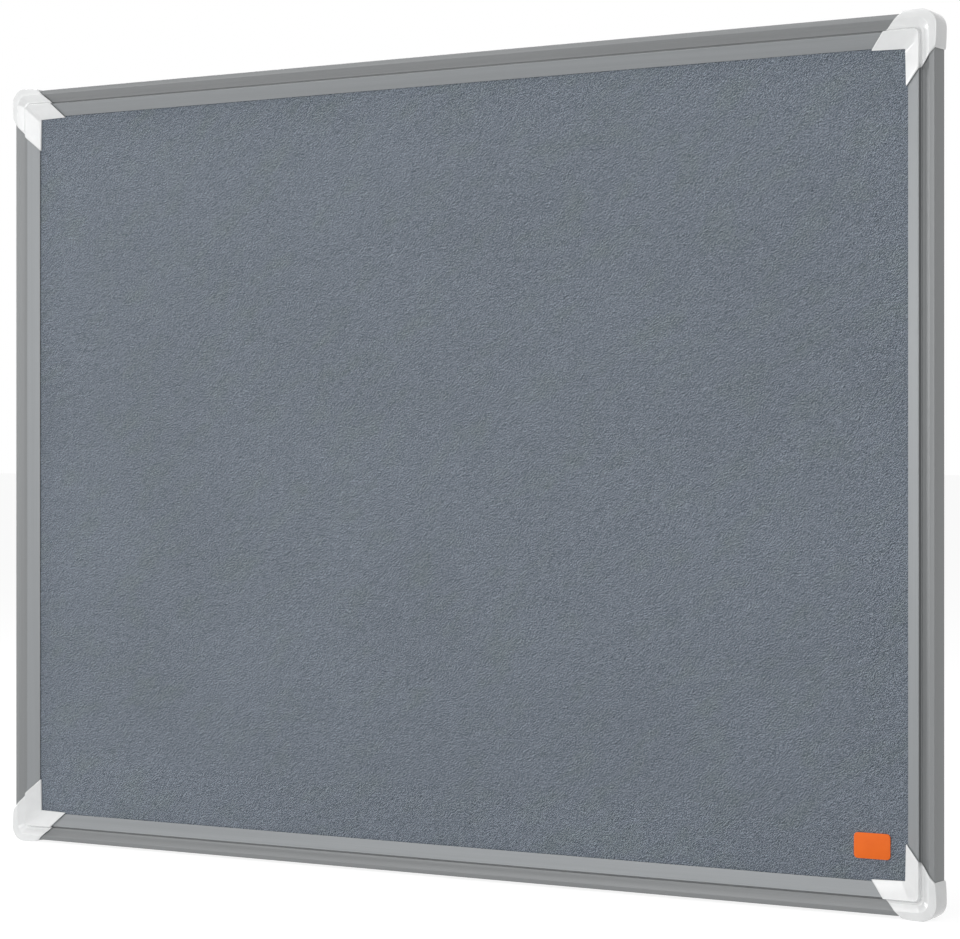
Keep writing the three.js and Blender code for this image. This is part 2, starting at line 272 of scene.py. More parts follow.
# Zinc plate
ZINC_CLOUD = (0.9, 0.9, 0.9)
ZINC_ROUGHNESS = (0.26, 0.4)
ZINC_BUMP = (0.3, 0.02)

# Fibre and card
FLECK_TURNS = (15, 75, -40)
FLECK_THINNESS = 5
FLECK_WEIGHT = 0.75
BOARD_CLOUD = (35, 35, 25)
BOARD_CLOUD_WEIGHT = 0.25
BOARD_BUMP = (0.4, 0.06)

# Colours in 8-bit levels
ALUMINIUM = (131, 133, 134)
BEVEL = (141, 144, 146)
CAP_COLOUR = (235, 236, 236)
BRACKET_COLOUR = (186, 188, 191)
TAB_COLOUR = (245, 112, 26)
ZINC_TONES = ((176, 178, 178), (204, 205, 200))
FIBRE_TONES = ((158, 132, 98), (196, 172, 136))
CARD_TONES = ((124, 126, 127), (148, 150, 150))

# Spans of a noise's values
WIDE_SPAN = (0.3, 0.7)
NARROW_SPAN = (0.35, 0.65)
BOARD_SPAN = (0.38, 0.62)

# Fineness of the meshes
MERGE_DISTANCE = 1e-4
BEVEL_SEGMENTS = 2
LATHE_SIDES = 32
SMOOTH_PASSES = 2
STRAIGHT_TURN = 1e-3
LEAST_ROWS = 3
ROUND_STEPS = 8
SMOOTH_ANGLE = math.radians(28)
SAMPLE_STEP = 0.04
TURN_PER_POINT = math.radians(7)

FOOT_RISE = RAIL_DEPTH - FOOT_DROP
RIDGE_INSET = FOOT_INSET + STEP_RUN
BEVEL_SLOPE = (RAIL_DEPTH - LIP_RISE - LIP_EDGE) / (RAIL_INSET - RIDGE_INSET)
ARM_INSET = RAIL_WALL + KEY_CLEARANCE
ARM_WIDTH = RIDGE_INSET - RAIL_WALL - 2 * KEY_CLEARANCE
ARM_MIDDLE = ARM_INSET + ARM_WIDTH / 2
ARM_TOP = FOOT_RISE - RAIL_WALL - KEY_CLEARANCE
BLOCK_END = RAIL_END - KEY_CLEARANCE

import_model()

HALF_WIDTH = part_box("frame_rail_right")[1].x / MM
HALF_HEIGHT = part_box("frame_rail_top")[1].z / MM

CORNERS = (
    ("top_left", "top", 2 * HALF_WIDTH, -1, 1),
    ("top_right", "right", 2 * HALF_HEIGHT, 1, 1),
    ("bottom_right", "bottom", 2 * HALF_WIDTH, 1, -1),
    ("bottom_left", "left", 2 * HALF_HEIGHT, -1, -1),
)


# Meshes


def mesh_from(vertices, faces):
    mesh = bpy.data.meshes.new("piece")
    mesh.from_pydata([tuple(map(float, v)) for v in vertices], [], faces)
    return cleaned(mesh)


def cleaned(mesh):
    """The mesh with doubled vertices merged and its faces turned outward."""
    shape = bmesh.new()
    shape.from_mesh(mesh)
    bmesh.ops.remove_doubles(shape, verts=shape.verts, dist=MERGE_DISTANCE)
    bmesh.ops.recalc_face_normals(shape, faces=shape.faces)
    shape.to_mesh(mesh)
    shape.free()
    return mesh


def carved(mesh, cutters, operation="DIFFERENCE"):
    """The mesh joined with the others or cut by them, one after another."""
    target = bpy.data.objects.new("target", mesh)
    bpy.context.scene.collection.objects.link(target)
    tools = []
    for cutter in cutters:
        tool = bpy.data.objects.new("tool", cutter)
        bpy.context.scene.collection.objects.link(tool)
        tools.append(tool)
        modifier = target.modifiers.new("carve", "BOOLEAN")
        modifier.operation = operation
        modifier.solver = "EXACT"
        modifier.object = tool
    graph = bpy.context.evaluated_depsgraph_get()
    made = bpy.data.meshes.new_from_object(target.evaluated_get(graph))
    for item in [target, *tools]:
        bpy.data.objects.remove(item)
    return made


def prism(outline, from_rise, to_rise, bevel):
    """An outline in a corner's plan, given a thickness, with its sharp edges bevelled."""
    count = len(outline)
    low = [(x, -from_rise, -z) for x, z in outline]
    high = [(x, -to_rise, -z) for x, z in outline]
    sides = [(i, (i + 1) % count, (i + 1) % count + count, i + count) for i in range(count)]
    mesh = mesh_from(low + high, [tuple(range(count)), tuple(range(count, 2 * count)), *sides])
    shape = bmesh.new()
    shape.from_mesh(mesh)
    sharp = [edge for edge in shape.edges if edge.calc_face_angle(0) > SMOOTH_ANGLE]
    bmesh.ops.bevel(
        shape, geom=sharp, offset=bevel, segments=BEVEL_SEGMENTS, profile=0.5, affect="EDGES"
    )
    shape.to_mesh(mesh)
    shape.free()
    return mesh


def lathe(profile, along_first, along_second, sides=LATHE_SIDES):
    """A closed form turned about a line square to the wall, from (radius, rise) points."""
    rings = [
        [
            (
                along_first + radius * math.cos(2 * math.pi * k / sides),
                -rise,
                -along_second + radius * math.sin(2 * math.pi * k / sides),
            )
            for k in range(sides)
        ]
        for radius, rise in profile
    ]
    return lofted(rings, closed_rings=True, capped=True)


def lofted(rings, closed_rings, capped):
    """A skin through rings of matching points."""
    size = len(rings[0])
    vertices = [point for ring in rings for point in ring]
    span = size if closed_rings else size - 1
    faces = [
        (
            row * size + i,
            row * size + (i + 1) % size,
            (row + 1) * size + (i + 1) % size,
            (row + 1) * size + i,
        )
        for row in range(len(rings) - 1)
        for i in range(span)
    ]
    if capped:
        faces.append(tuple(range(size)))
        faces.append(tuple(range(len(vertices) - size, len(vertices))))
    return mesh_from(vertices, faces)


def piece(name, mesh, finishes, nodes, place=None):
    """An object of the model, in metres, that stands for its CAD nodes.

    With two finishes the mesh's faces already say which of them they have.
    """
    mesh.transform(Matrix.Scale(MM, 4) @ (place or Matrix.Identity(4)))
    mesh.name = name
    marked = [face.material_index for face in mesh.polygons]
    mesh.materials.clear()
    for finish in finishes if isinstance(finishes, tuple) else (finishes,):
        mesh.materials.append(finish)
    mesh.polygons.foreach_set("material_index", marked)
    mesh.polygons.foreach_set("use_smooth", [True] * len(mesh.polygons))
    mesh.set_sharp_from_angle(angle=SMOOTH_ANGLE)
    made = bpy.data.objects.new(name, mesh)
    bpy.context.scene.collection.objects.link(made)
    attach(made, "root")
    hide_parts(*nodes)
    return made


# Sections


def face_path(side, crest, foot, ridge, lip, lip_bottom, reach, power):
    """The face in section as rows of inset, rise, share of the side and share of the lip.

    The cove has come down to its foot's level at this reach between crest and foot.
    """
    cove = []
    for k in range(1, COVE_STEPS):
        along = k / COVE_STEPS
        left = max(0.0, 1 - along / reach) ** power
        inset = crest[0] + along * (foot[0] - crest[0])
        cove.append((inset, foot[1] + left * (crest[1] - foot[1])))
    rows = [[side[0], 0, 1, 0], [*side, 1, 0], [*crest, 0, 0]]
    rows += [[*point, 0, 0] for point in cove]
    rows += [[*foot, 0, 0], [*ridge, 0, 0], [*lip, 0, 1], [*lip_bottom, 0, 1]]
    return np.array(rows, float)


def offset_path(path, distance):
    """The path moved to its left by one distance, with mitred corners."""
    runs = np.diff(path[:, :2], axis=0)
    runs /= np.linalg.norm(runs, axis=1)[:, None]
    normals = np.stack([-runs[:, 1], runs[:, 0]], 1)
    before = np.vstack([normals[:1], normals])
    after = np.vstack([normals, normals[-1:]])
    mitre = before + after
    moved = path.copy()
    moved[:, :2] += mitre * (2 * distance / (mitre**2).sum(1))[:, None]
    return moved


def sampled(path, like=None):
    """The path cut into short pieces, as many in each segment as in the path that it goes with."""
    like = path if like is None else like
    rows = []
    for start, end, ahead, behind in zip(path[:-1], path[1:], like[:-1], like[1:]):
        count = max(2, round(float(np.linalg.norm((behind - ahead)[:2])) / SAMPLE_STEP))
        shares = np.arange(count)[:, None] / count
        rows.append(start + (end - start) * shares)
    rows.append(path[-1:])
    return np.vstack(rows)


def smoothed(rows, width, closed):
    """The rows with their corners rounded over about this width."""
    reach = max(1, round(width / SAMPLE_STEP / 2))
    for _ in range(SMOOTH_PASSES):
        if closed:
            padded = np.vstack([rows[-reach:], rows, rows[:reach]])
        else:
            before = 2 * rows[0] - rows[reach:0:-1]
            after = 2 * rows[-1] - rows[-2 : -2 - reach : -1]
            padded = np.vstack([before, rows, after])
        total = np.vstack([np.zeros(rows.shape[1]), np.cumsum(padded, 0)])
        rows = (total[2 * reach + 1 :] - total[: -2 * reach - 1]) / (2 * reach + 1)
    return rows


def telling(rows, closed):
    """Which rows to keep so that no face between two of them turns too far."""
    kept = [0]
    turned = 0.0
    runs = np.diff(rows[:, :2], axis=0)
    angles = np.unwrap(np.arctan2(runs[:, 1], runs[:, 0]))
    for i in range(1, len(rows) - 1):
        step = abs(angles[i] - angles[i - 1])
        starts = step > STRAIGHT_TURN and turned == 0.0 and i - kept[-1] > LEAST_ROWS
        turned += step
        following = abs(angles[min(i + 1, len(angles) - 1)] - angles[i])
        ends = turned > 0 and following < STRAIGHT_TURN and step > STRAIGHT_TURN
        if starts or ends or turned > TURN_PER_POINT:
            kept.append(i)
            turned = 0.0
    if not closed:
        kept.append(len(rows) - 1)
    return kept


RAIL_FACE = face_path(
    (0, RAIL_DEPTH),
    (CREST_INSET, RAIL_DEPTH + CREST_RISE),
    (FOOT_INSET, FOOT_RISE),
    (RIDGE_INSET, RAIL_DEPTH),
    (RAIL_INSET, LIP_RISE + LIP_EDGE),
    (RAIL_INSET, LIP_RISE),
    COVE_REACH,
    COVE_POWER,
)


# Rails


def rail_mesh(length):
    """A hollow rail along +X, cut square at both ends and drilled for its two screws."""
    slot_inset = RIDGE_INSET + RAIL_WALL
    slot_top = RAIL_DEPTH - (slot_inset - RIDGE_INSET) * BEVEL_SLOPE - RAIL_WALL
    groove = [
        (FOOT_INSET - GROOVE_WIDTH, FOOT_RISE),
        (FOOT_INSET - GROOVE_WIDTH, FOOT_RISE - GROOVE_DEPTH),
        (FOOT_INSET, FOOT_RISE - GROOVE_DEPTH),
    ]
    back = [
        (RAIL_INSET - LIP_PAD, LIP_RISE),
        (slot_inset, slot_top),
        (slot_inset, BACK_LIP_THICKNESS),
        (RAIL_INSET, BACK_LIP_THICKNESS),
        (RAIL_INSET, 0),
        (0, 0),
    ]
    face = [point for point in RAIL_FACE[:-3, :2] if point[0] < groove[0][0]]
    outline = np.vstack([face, groove, RAIL_FACE[-3:, :2], back])
    under_cove = [(x, y - RAIL_WALL) for x, y in RAIL_FACE[2 : COVE_STEPS + 2, :2]]
    chamber = np.array(
        [
            (RAIL_WALL, RAIL_WALL),
            (RAIL_WALL, RAIL_DEPTH - RAIL_WALL),
            *under_cove,
            (RIDGE_INSET, FOOT_RISE - RAIL_WALL),
            (RIDGE_INSET, RAIL_WALL),
            (RAIL_WALL, RAIL_WALL),
        ]
    )
    loops = []
    for path in (outline, chamber):
        rows = smoothed(sampled(path)[:-1], RAIL_ROUNDING, closed=True)
        loops.append(rows[telling(rows, closed=True)])
    ends = (RAIL_END, length - RAIL_END)
    shape = bmesh.new()
    edges = []
    for loop in loops:
        rings = []
        for along in ends:
            rings.append([shape.verts.new((along, -rise, -inset)) for inset, rise in loop])
        count = len(loop)
        for i in range(count):
            j = (i + 1) % count
            shape.faces.new((rings[0][i], rings[0][j], rings[1][j], rings[1][i]))
        rims = []
        for ring in rings:
            rims.append([shape.edges.get((ring[i], ring[(i + 1) % count])) for i in range(count)])
        edges.append(rims)
    for end in (0, 1):
        bmesh.ops.triangle_fill(shape, edges=edges[0][end] + edges[1][end], use_beauty=True)
    bmesh.ops.recalc_face_normals(shape, faces=shape.faces)
    mesh = bpy.data.meshes.new("rail")
    shape.to_mesh(mesh)
    shape.free()
    holes = [screw_hole(along) for along in (SCREW_ALONG, length - SCREW_ALONG)]
    drilled = carved(mesh, holes)
    for face in drilled.polygons:
        inset, rise = -face.center.z, -face.center.y
        faces_out = face.normal.y < -BEVEL_FACING
        face.material_index = int(inset > RIDGE_INSET and rise > LIP_RISE and faces_out)
    return drilled


def screw_hole(along_first, along_second=ARM_MIDDLE, depth=SCREW_LENGTH + SCREW_PLAY):
    """What is drilled for one screw: the countersink and the clearance hole."""
    head = SCREW_HEAD_RADIUS + SCREW_PLAY
    shank = SCREW_SHANK_RADIUS + SCREW_PLAY
    foot = SCREW_SET + SCREW_HEAD_HEIGHT
    profile = [(head, -CUT_BEYOND), (head, SCREW_SET), (shank, foot), (shank, depth)]
    return lathe(profile, along_first, along_second)


# Caps


def turn_radius(inset):
    """The corner's radius at an inset. It shrinks inward until the corner is sharp."""
    return np.interp(inset, (-CAP_SIDE_PROUD, CAP_SHARP_INSET), (CAP_TURN_RADIUS, 0))


def cap_point(rows, angle, share, back):
    """The section's rows at one place of the sweep, with what the arms draw in toward their ends."""
    inset, rise, side, lip = rows.T
    hub = inset + turn_radius(inset)
    ending = inset + CAP_SIDE_TAPER * side - CAP_LIP_TAPER * lip
    turns = (CAP_SIDE_TAPER - CAP_SIDE_PROUD, RIDGE_INSET - CAP_STEP_SHIFT, RAIL_INSET + CAP_LIP_OVER)
    arm = np.interp(ending, turns, (CAP_END, CAP_RIDGE_END, CAP_TIP)) - hub
    run = share * arm - back
    reached = run / arm
    lean = CAP_FLARE * (1 - rise / (RAIL_DEPTH + CAP_FACE_PROUD))
    draw = side * (lean + (CAP_SIDE_TAPER - lean) * reached**2) - CAP_LIP_TAPER * lip * reached
    radius = np.maximum(hub - inset - draw, 0)
    first = hub - radius * math.sin(angle) + run * math.cos(angle)
    second = hub - radius * math.cos(angle) + run * math.sin(angle)
    return np.stack([first, -rise, -second], 1)


def cap_stations():
    """Places of the section: an angle, a share of the arm, a setback and a share of the skin."""
    arm = []
    for k in range(CAP_END_STEPS + 1):
        lean = math.pi / 2 * k / CAP_END_STEPS
        skin = CAP_END_SHARE + (1 - CAP_END_SHARE) * math.sin(lean)
        arm.append((1, CAP_END_BEVEL * (1 - math.cos(lean)), skin))
    arm += [(share, 0, 1) for share in CAP_ARM_SHARES]
    turn = [(math.pi / 2 * k / CAP_TURN_STEPS, 0, 0, 1) for k in range(CAP_TURN_STEPS + 1)]
    return [(0, *row) for row in arm] + turn + [(math.pi / 2, *row) for row in reversed(arm)]


def cap_mesh():
    """The cap's skin, swept round the corner and along both arms, with its two pegs."""
    lip_inset = RAIL_INSET + CAP_LIP_OVER
    ridge = (RIDGE_INSET - CAP_STEP_SHIFT, RAIL_DEPTH + CAP_RIDGE_PROUD)
    outer = face_path(
        (-CAP_SIDE_PROUD, RAIL_DEPTH + CAP_FACE_PROUD),
        (CREST_INSET, RAIL_DEPTH + CREST_RISE + CAP_FACE_PROUD),
        (FOOT_INSET - CAP_STEP_SHIFT, FOOT_RISE + CAP_FACE_PROUD),
        ridge,
        (lip_inset, ridge[1] - (lip_inset - ridge[0]) * BEVEL_SLOPE),
        (lip_inset, LIP_RISE),
        CAP_COVE_REACH,
        CAP_COVE_POWER,
    )
    inner = offset_path(RAIL_FACE, CAP_GAP)
    inner[:, 2:] = 0
    skin_out = creased(smoothed(sampled(outer), CAP_ROUNDING, closed=False))
    skin_in = smoothed(sampled(inner, outer), RAIL_ROUNDING, closed=False)
    kept = telling(skin_out, closed=False)
    skin_out, skin_in = skin_out[kept], skin_in[kept]
    rings = []
    for angle, share, back, skin in cap_stations():
        inside = cap_point(skin_in, angle, share, back)
        outside = cap_point(skin_out, angle, share, back)
        outside = inside + (outside - inside) * skin
        rings.append([*outside, *inside[::-1]])
    mesh = closed_skin(rings)
    peg_end = ARM_TOP - PEG_REACH
    peg = [
        (PEG_POINT_SHARE * PEG_RADIUS, peg_end),
        (PEG_LEAD_SHARE * PEG_RADIUS, peg_end + PEG_POINT),
        (PEG_RADIUS, peg_end + PEG_LEAD),
        (PEG_RADIUS, FOOT_RISE + PEG_ROOT),
    ]
    places = ((PEG_ALONG, PEG_INSET), (PEG_INSET, PEG_ALONG))
    return carved(mesh, [lathe(peg, *place, PEG_SIDES) for place in places], "UNION")


def creased(rows):
    """The cap's section with a fine crease along the foot of its step."""
    place = FOOT_INSET - CAP_STEP_SHIFT - CAP_CREASE_WIDTH
    on_cove = rows[:, 0] < place + CAP_CREASE_WIDTH
    dip = CAP_CREASE_DEPTH * np.exp(-(((rows[:, 0] - place) / CAP_CREASE_WIDTH) ** 2))
    rows[:, 1] -= dip * on_cove
    return rows


def closed_skin(rings):
    """A skin through rings of outside points followed by as many inside ones, backward."""
    size = len(rings[0])
    vertices = [point for ring in rings for point in ring]
    faces = []
    for row in range(len(rings) - 1):
        for i in range(size):
            j = (i + 1) % size
            faces.append((row * size + i, row * size + j, (row + 1) * size + j, (row + 1) * size + i))
    last = (len(rings) - 1) * size
    for i in range(size // 2 - 1):
        end = (i, i + 1, size - 2 - i, size - 1 - i)
        faces.append(end)
        faces.append(tuple(last + k for k in end))
    return mesh_from(vertices, faces)


# Brackets


def mirrored(outline):
    return [(z, x) for x, z in outline]


def bracket_mesh():
    """The corner key: a block that clears the panel's clip, with two arms, bores and pockets."""
    panel_inset = RIDGE_INSET + RAIL_WALL + PANEL_PLAY
    panel_line = 2 * panel_inset + PANEL_CLIP - KEY_CLEARANCE * math.sqrt(2)
    radius = turn_radius(0)
    turn = []
    for k in range(BLOCK_TURN_STEPS + 1):
        angle = math.pi / 2 * k / BLOCK_TURN_STEPS
        turn.append((radius * (1 - math.cos(angle)), radius * (1 - math.sin(angle))))
    block = [
        (0, BLOCK_END),
        *turn,
        (BLOCK_END, 0),
        (BLOCK_END, panel_line - BLOCK_END),
        (panel_line - BLOCK_END, BLOCK_END),
    ]
    start = BLOCK_END - ARM_OVERLAP
    inner = ARM_INSET + ARM_WIDTH
    arm = [
        (start, ARM_INSET),
        (ARM_END - ARM_TAPER, ARM_INSET),
        (ARM_END, ARM_INSET + ARM_TIP_INSET),
        (ARM_END, inner - ARM_TIP_INSET),
        (ARM_END - ARM_TAPER, inner),
        (start, inner),
    ]
    pockets = []
    for begin in (RAIL_END + ARM_POCKET_WALL, ARM_END - ARM_TAPER - ARM_POCKET_LENGTH):
        pockets.append(
            [
                (begin, ARM_INSET + ARM_POCKET_WALL),
                (begin + ARM_POCKET_LENGTH, ARM_INSET + ARM_POCKET_WALL),
                (begin + ARM_POCKET_LENGTH, inner - ARM_POCKET_WALL),
                (begin, inner - ARM_POCKET_WALL),
            ]
        )
    body = prism(block, 0, ARM_TOP, MOULDED_BEVEL)
    arms = [prism(side, ARM_INSET, ARM_TOP, MOULDED_BEVEL) for side in (arm, mirrored(arm))]
    body = carved(body, arms, "UNION")
    socket_end = ARM_TOP - PEG_REACH - SOCKET_SPARE
    socket_radius = PEG_RADIUS + PEG_PLAY
    socket = [(socket_radius, socket_end), (socket_radius, ARM_TOP + CUT_BEYOND)]
    bore = [
        (BORE_RADIUS + BORE_CHAMFER, -CUT_BEYOND),
        (BORE_RADIUS + BORE_CHAMFER, 0),
        (BORE_RADIUS, BORE_CHAMFER),
        (BORE_RADIUS, BORE_FLOOR),
        (COUNTERBORE_RADIUS, BORE_FLOOR),
        (COUNTERBORE_RADIUS, ARM_TOP - BORE_CHAMFER),
        (COUNTERBORE_RADIUS + BORE_CHAMFER, ARM_TOP),
        (COUNTERBORE_RADIUS + BORE_CHAMFER, ARM_TOP + CUT_BEYOND),
    ]
    cutters = [
        lathe(bore, BORE_INSET, BORE_INSET, BORE_SIDES),
        lathe(socket, PEG_ALONG, PEG_INSET),
        lathe(socket, PEG_INSET, PEG_ALONG),
        screw_hole(SCREW_ALONG, ARM_MIDDLE),
        screw_hole(ARM_MIDDLE, SCREW_ALONG),
    ]
    floor = ARM_INSET + ARM_POCKET_FLOOR
    above = ARM_TOP + 2 * CUT_BEYOND
    for pocket in pockets:
        cutters.append(prism(pocket, floor, above, MOULDED_BEVEL))
        cutters.append(prism(mirrored(pocket), floor, above, MOULDED_BEVEL))
    return carved(body, cutters)


# Screws


def screw_mesh():
    """A countersunk screw with a helical thread and a cross recess."""
    head_end = SCREW_SET + SCREW_HEAD_HEIGHT
    rows = [
        (0.0, SCREW_SET, 0),
        (SCREW_HEAD_FLAT_SHARE * SCREW_HEAD_RADIUS, SCREW_SET, 0),
        (SCREW_HEAD_RADIUS - SCREW_HEAD_ROUND, SCREW_SET, 0),
        (SCREW_HEAD_RADIUS, SCREW_SET + SCREW_HEAD_RIM, 0),
        (SCREW_SHANK_RADIUS, head_end, 0),
    ]
    core = SCREW_SHANK_RADIUS - SCREW_THREAD_DEPTH
    start = head_end + SCREW_THREAD_START
    span = SCREW_LENGTH - SCREW_THREAD_END - start
    steps = round(span / (SCREW_PITCH / SCREW_ROWS_PER_TURN))
    for k in range(steps + 1):
        rise = start + span * k / steps
        left = min(1.0, (SCREW_LENGTH - rise) / SCREW_POINT)
        thread = SCREW_THREAD_DEPTH * left * SCREW_THREAD_SHARE
        rows.append((core * left + SCREW_CORE_SPARE, rise, thread))
    rows.append((0.0, SCREW_LENGTH, 0))
    rings = []
    for radius, rise, thread in rows:
        ring = []
        for k in range(SCREW_SIDES):
            angle = 2 * math.pi * k / SCREW_SIDES
            phase = (rise / SCREW_PITCH - k / SCREW_SIDES) % 1
            crest = max(0.0, 1 - abs(phase - 0.5) / SCREW_THREAD_WIDTH_SHARE)
            reach = radius + thread * crest
            ring.append((reach * math.cos(angle), -rise, reach * math.sin(angle)))
        rings.append(ring)
    screw = lofted(rings, closed_rings=True, capped=False)
    blades = []
    corners = ((-1, -1), (1, -1), (1, 1), (-1, 1))
    taper = RECESS_TAPER_SHARE
    for reach_x, reach_z in ((RECESS_REACH, RECESS_WIDTH / 2), (RECESS_WIDTH / 2, RECESS_REACH)):
        top = [(sx * reach_x, -SCREW_SET + RECESS_ABOVE, sz * reach_z) for sx, sz in corners]
        deep = [(taper * x, -SCREW_SET - RECESS_DEPTH, taper * z) for x, _, z in top]
        blades.append(lofted([top, deep], closed_rings=True, capped=True))
    return carved(screw, blades)


# Panel


def clipped(half_x, half_z, clip):
    return [
        (-half_x + clip, half_z),
        (half_x - clip, half_z),
        (half_x, half_z - clip),
        (half_x, -half_z + clip),
        (half_x - clip, -half_z),
        (-half_x + clip, -half_z),
        (-half_x, -half_z + clip),
        (-half_x, half_z - clip),
    ]


def node_box(name):
    """The two far corners of a CAD node's box, in millimetres."""
    low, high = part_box(name)
    return low / MM, high / MM


def sheet_mesh(name):
    """A flat sheet with the outline and thickness of its node and eased edges."""
    low, high = node_box(name)
    outline = clipped(high.x, high.z, PANEL_CLIP)
    return prism(outline, -high.y, -low.y, SHEET_BEVEL)


def grid_lines(half):
    """Lines across the felt, evenly spaced, with some at the ends of the corner clips."""
    count = round(2 * (half - PANEL_CLIP) / FELT_CELL)
    clip = np.linspace(0, PANEL_CLIP, CLIP_CELLS + 1)
    middle = np.linspace(PANEL_CLIP - half, half - PANEL_CLIP, count + 1)
    return np.concatenate([clip[:-1] - half, middle, half - clip[-2::-1]])


def felt_mesh():
    """The felt as a closed sheet whose front is a fine grid with a slightly uneven nap."""
    low, high = node_box("felt_covering")
    xs = grid_lines(high.x)
    zs = grid_lines(high.z)
    columns, rows = len(xs) - 1, len(zs) - 1

    def short(i, count):
        return min(i, count - i)

    def face_height(x, z):
        edge = min(high.x - abs(x), high.z - abs(z))
        nap = noise.noise(Vector((x * FELT_NAP_RATE, z * FELT_NAP_RATE, FELT_NAP_LAYER)))
        slow_x, slow_z = FELT_WAVE_RATES
        wave = noise.noise(Vector((x * slow_x, z * slow_z, FELT_WAVE_LAYER)))
        return (FELT_NAP * nap + FELT_WAVE * wave) * min(1.0, edge / PANEL_CLIP)

    shape = bmesh.new()
    front = {}
    for i, x in enumerate(xs):
        for j, z in enumerate(zs):
            if short(i, columns) + short(j, rows) >= CLIP_CELLS:
                front[i, j] = shape.verts.new((x, low.y - face_height(x, z), z))
    for i in range(columns):
        for j in range(rows):
            around = [(i, j), (i + 1, j), (i + 1, j + 1), (i, j + 1)]
            there = [front[key] for key in around if key in front]
            if len(there) >= 3:
                shape.faces.new(there)
    rim = [edge for edge in shape.edges if edge.is_boundary]
    wall = bmesh.ops.extrude_edge_only(shape, edges=rim)["geom"]
    back = [item for item in wall if isinstance(item, bmesh.types.BMVert)]
    for vertex in back:
        vertex.co.y = high.y
    centre = shape.verts.new((0, high.y, 0))
    for edge in [item for item in wall if isinstance(item, bmesh.types.BMEdge) and item.is_boundary]:
        shape.faces.new((*edge.verts, centre))
    bmesh.ops.recalc_face_normals(shape, faces=shape.faces)
    mesh = bpy.data.meshes.new("felt")
    shape.to_mesh(mesh)
    shape.free()
    return mesh


def tab_mesh():
    """A plain tab with rounded corners and a softened front edge."""
    low, high = node_box("face_tab")
    middle_x, middle_z = (low.x + high.x) / 2, (low.z + high.z) / 2
    half_x, half_z = (high.x - low.x) / 2, (high.z - low.z) / 2

    def ring(inset, rise):
        points = []
        radius = TAB_ROUND - inset
        for quarter, (sx, sz) in enumerate(((1, 1), (-1, 1), (-1, -1), (1, -1))):
            for k in range(ROUND_STEPS + 1):
                angle = math.pi / 2 * (quarter + k / ROUND_STEPS)
                x = middle_x + sx * (half_x - TAB_ROUND) + radius * math.cos(angle)
                z = middle_z + sz * (half_z - TAB_ROUND) + radius * math.sin(angle)
                points.append((x, -rise, z))
        return points

    back, front = -high.y, -low.y
    rings = [ring(0, back), ring(0, front - TAB_BEVEL)]
    for k in range(1, TAB_BEVEL_STEPS + 1):
        lean = math.pi / 2 * k / TAB_BEVEL_STEPS
        inset = TAB_BEVEL * (1 - math.cos(lean))
        rings.append(ring(inset, front - TAB_BEVEL * (1 - math.sin(lean))))
    return lofted(rings, closed_rings=True, capped=True)


# Materials


def node(tree, kind, inputs=None, **settings):
    made = tree.nodes.new(kind)
    for key, value in settings.items():
        setattr(made, key, value)
    for key, value in (inputs or {}).items():
        if isinstance(value, bpy.types.NodeSocket):
            tree.links.new(value, made.inputs[key])
        else:
            made.inputs[key].default_value = value
    return made


def material(name, **sockets):
    """A new Principled material, its tree and its shader, with plain values on their sockets."""
    made = bpy.data.materials.new(name)
    made.use_nodes = True
    shader = made.node_tree.nodes["Principled BSDF"]
    for key, value in sockets.items():
        shader.inputs[key.replace("_", " ").title().replace("Ior", "IOR")].default_value = value
    return made, made.node_tree, shader


def linear(red, green, blue):
    """A colour from 8-bit sRGB levels."""
    levels = [value / 255 for value in (red, green, blue)]
    return [*(v / 12.92 if v <= 0.04045 else ((v + 0.055) / 1.055) ** 2.4 for v in levels), 1.0]


def millimetres(tree):
    coordinates = node(tree, "ShaderNodeTexCoord").outputs["Object"]
    inputs = {"Vector": coordinates, "Scale": (1 / MM, 1 / MM, 1 / MM)}
    return node(tree, "ShaderNodeMapping", inputs).outputs[0]


def stretched(tree, vector, angle, size, shift=(0, 0, 0)):
    """Coordinates for marks of this size in X, Y and Z, turned in the board's plane."""
    turn = (0, math.radians(angle), 0)
    inputs = {"Vector": vector, "Location": shift, "Rotation": turn, "Scale": size}
    return node(tree, "ShaderNodeMapping", inputs, vector_type="TEXTURE").outputs[0]


def grain(tree, vector, detail=2.0, roughness=0.5, distortion=0.0):
    """Noise whose features are about one unit of these coordinates in size."""
    inputs = {"Vector": vector, "Scale": 1.0, "Detail": detail}
    inputs |= {"Roughness": roughness, "Distortion": distortion}
    return node(tree, "ShaderNodeTexNoise", inputs).outputs["Fac"]


def ramp(tree, factor, stops):
    """A colour ramp through stops of a place and a colour in 8-bit levels."""
    made = node(tree, "ShaderNodeValToRGB", {"Fac": factor})
    elements = made.color_ramp.elements
    while len(elements) < len(stops):
        elements.new(0.5)
    for element, (position, levels) in zip(elements, stops):
        element.position = position
        element.color = linear(*levels)
    return made.outputs["Color"]


def mixed(tree, factor, first, second, blend="MIX"):
    made = node(tree, "ShaderNodeMix", data_type="RGBA", blend_type=blend)
    for index, value in ((0, factor), (6, first), (7, second)):
        if isinstance(value, bpy.types.NodeSocket):
            tree.links.new(value, made.inputs[index])
        else:
            made.inputs[index].default_value = value
    return made.outputs[2]


def sums(tree, *terms):
    """The sum of (socket, weight) pairs."""
    total = None
    for socket, weight in terms:
        part = node(tree, "ShaderNodeMath", {0: socket, 1: weight}, operation="MULTIPLY").outputs[0]
        if total is None:
            total = part
        else:
            total = node(tree, "ShaderNodeMath", {0: total, 1: part}, operation="ADD").outputs[0]
    return total


